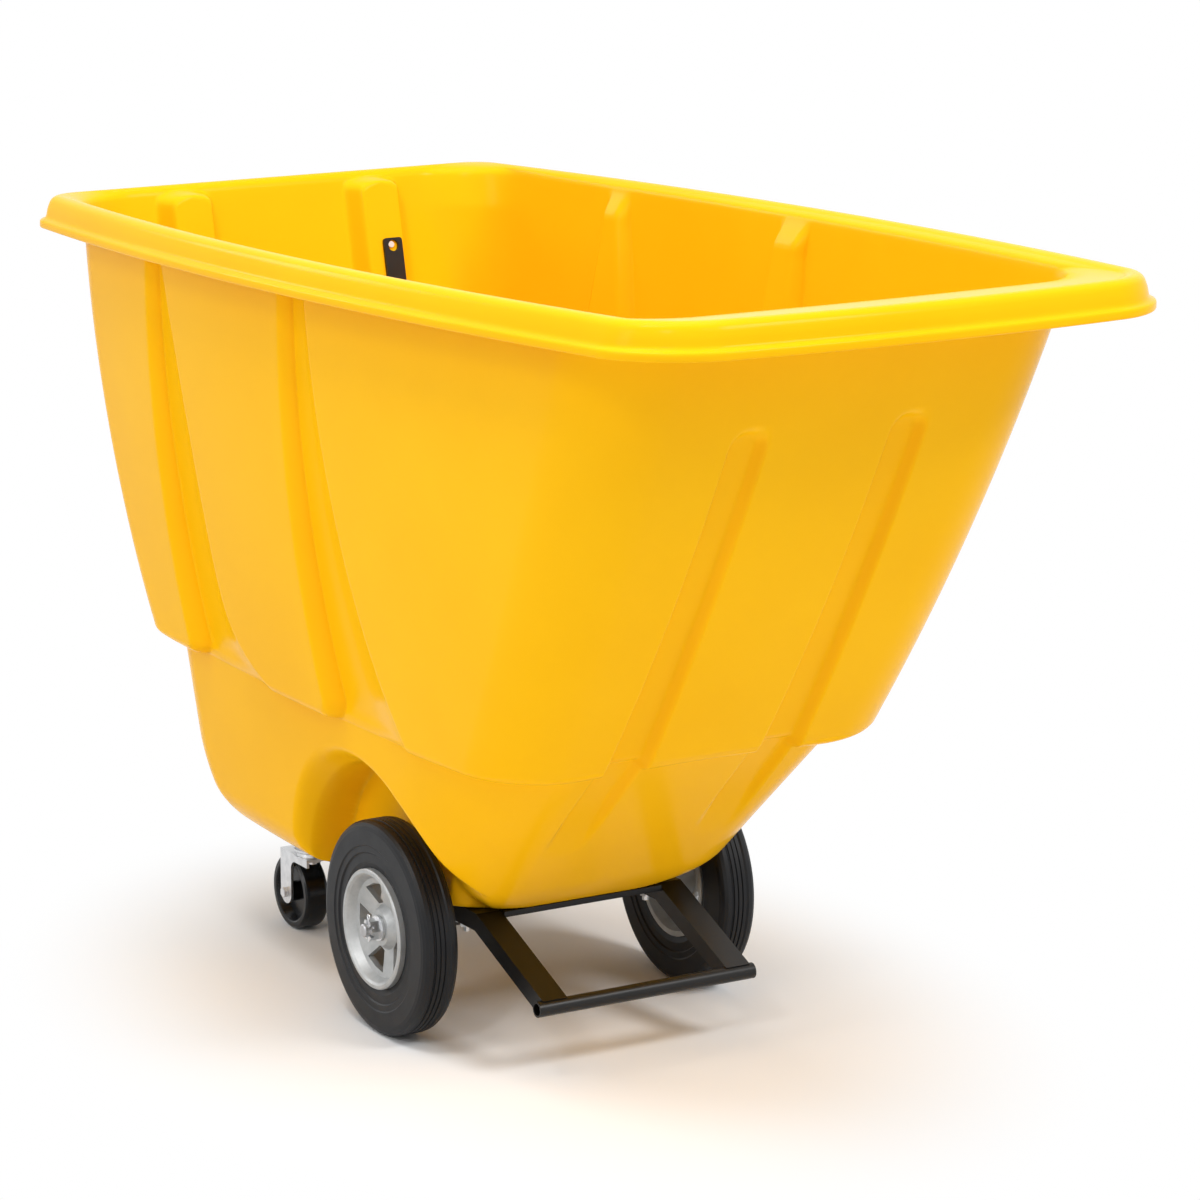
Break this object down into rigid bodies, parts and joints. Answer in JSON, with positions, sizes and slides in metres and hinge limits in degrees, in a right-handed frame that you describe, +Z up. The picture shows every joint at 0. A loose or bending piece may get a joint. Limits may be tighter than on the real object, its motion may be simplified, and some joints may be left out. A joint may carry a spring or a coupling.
{
  "type": "tilt truck",
  "caption": "Wheeled tilt truck: a deep moulded tub with ribbed walls and a rolled lip on a welded steel frame, with main wheels at the balance point, rear swivel casters and a front tip bar.",
  "frame": {"origin": "on the ground, midway across the truck and midway between the two end lips", "axes": "+X to the truck's right seen from behind the push handle, +Y towards the push handle and the casters, -Y the dumping end, +Z up"},
  "size_m": [0.896, 1.812, 1.1461],
  "materials": {
    "tub_plastic": "smooth rotationally moulded polyethylene with a soft sheen",
    "tyre_rubber": "solid black rubber, fine circumferential tread lines",
    "hub_cast": "grey metallic coating on a cast hub",
    "caster_tread": "glossy black moulded wheel",
    "frame_paint": "semi-gloss black paint over welded steel",
    "axle_steel": "plain drawn steel",
    "zinc": "bright zinc plating"
  },
  "bodies": {
    "chassis": {"tub": "tub_plastic", "rail_left": "frame_paint", "rail_right": "frame_paint", "front_crossbar": "frame_paint", "rear_crossbar": "frame_paint", "tip_bar": "frame_paint", "caster_carrier": "frame_paint", "axle": "axle_steel", "axle_bracket_left": "frame_paint", "axle_bracket_right": "frame_paint", "axle_bracket_bolts": "zinc", "axle_spacers": "axle_steel", "axle_washers": "zinc", "axle_nuts": "zinc", "cotter_pins": "zinc", "tub_bolts": "zinc", "tub_washers": "zinc", "tub_nuts": "zinc", "handle": "frame_paint", "handle_plate_left": "frame_paint", "handle_plate_right": "frame_paint", "handle_bolts": "zinc", "handle_nuts": "zinc", "strap_left": "frame_paint", "strap_right": "frame_paint", "caster_plate_left": "zinc", "caster_plate_right": "zinc", "kingpin_left": "zinc", "kingpin_right": "zinc", "kingpin_nuts": "zinc", "caster_bolts": "zinc", "caster_nuts": "zinc"},
    "wheel_left": {"tyre_left": "tyre_rubber", "hub_left": "hub_cast", "bearing_left": "zinc"},
    "wheel_right": {"tyre_right": "tyre_rubber", "hub_right": "hub_cast", "bearing_right": "zinc"},
    "swivel_left": {"caster_fork_left": "zinc", "swivel_race_left": "zinc", "caster_axle_left": "zinc", "caster_axle_nut_left": "zinc", "caster_bushing_left": "axle_steel"},
    "swivel_right": {"caster_fork_right": "zinc", "swivel_race_right": "zinc", "caster_axle_right": "zinc", "caster_axle_nut_right": "zinc", "caster_bushing_right": "axle_steel"},
    "roller_left": {"caster_wheel_left": "caster_tread"},
    "roller_right": {"caster_wheel_right": "caster_tread"}
  },
  "joints": [
    {"name": "left_wheel_spin", "type": "hinge", "parent": "chassis", "child": "wheel_left", "pos_m": [-0.24, 0.061, 0.1524], "axis": [1, 0, 0], "continuous": true},
    {"name": "right_wheel_spin", "type": "hinge", "parent": "chassis", "child": "wheel_right", "pos_m": [0.24, 0.061, 0.1524], "axis": [1, 0, 0], "continuous": true},
    {"name": "left_caster_swivel", "type": "hinge", "parent": "chassis", "child": "swivel_left", "pos_m": [-0.126, 0.525, 0.13], "axis": [0, 0, 1], "continuous": true},
    {"name": "left_caster_roll", "type": "hinge", "parent": "swivel_left", "child": "roller_left", "pos_m": [-0.126, 0.565, 0.057], "axis": [1, 0, 0], "continuous": true},
    {"name": "right_caster_swivel", "type": "hinge", "parent": "chassis", "child": "swivel_right", "pos_m": [0.126, 0.525, 0.13], "axis": [0, 0, 1], "continuous": true},
    {"name": "right_caster_roll", "type": "hinge", "parent": "swivel_right", "child": "roller_right", "pos_m": [0.126, 0.565, 0.057], "axis": [1, 0, 0], "continuous": true}
  ]
}
